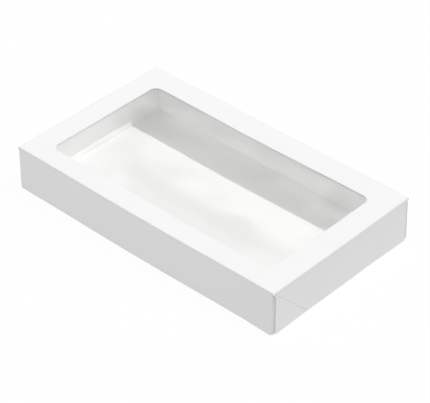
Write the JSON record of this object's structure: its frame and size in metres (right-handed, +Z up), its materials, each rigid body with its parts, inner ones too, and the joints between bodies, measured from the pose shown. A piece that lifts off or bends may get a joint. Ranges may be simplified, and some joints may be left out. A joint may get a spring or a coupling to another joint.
{
  "type": "windowed paper food box",
  "caption": "Flat white paperboard food box: a full-depth lift-off lid with a clear film window over a tray, both folded with glued, diagonally creased corners.",
  "frame": {"origin": "on the table under the middle of the closed box", "axes": "+X along the length to the right end, +Y across the width from the front wall to the rear wall, +Z up"},
  "size_m": [0.202, 0.119, 0.03],
  "materials": {
    "lid_board": "smooth white coated board",
    "tray_board": "smooth white coated board",
    "film": "clear glossy film"
  },
  "bodies": {
    "tray": {"tray_floor_panel": "tray_board", "tray_front_wall": "tray_board", "tray_rear_wall": "tray_board", "tray_left_end": "tray_board", "tray_right_end": "tray_board", "tray_front_left_tab": "tray_board", "tray_front_right_tab": "tray_board", "tray_rear_left_tab": "tray_board", "tray_rear_right_tab": "tray_board"},
    "lid": {"lid_top_panel": "lid_board", "lid_front_wall": "lid_board", "lid_rear_wall": "lid_board", "lid_left_end": "lid_board", "lid_right_end": "lid_board", "lid_front_left_tab": "lid_board", "lid_front_right_tab": "lid_board", "lid_rear_left_tab": "lid_board", "lid_rear_right_tab": "lid_board", "window_film": "film"}
  },
  "joints": [
    {"name": "lid_lift", "type": "slide", "parent": "tray", "child": "lid", "axis": [0, 0, 1], "range_m": [0, 0.06]}
  ]
}
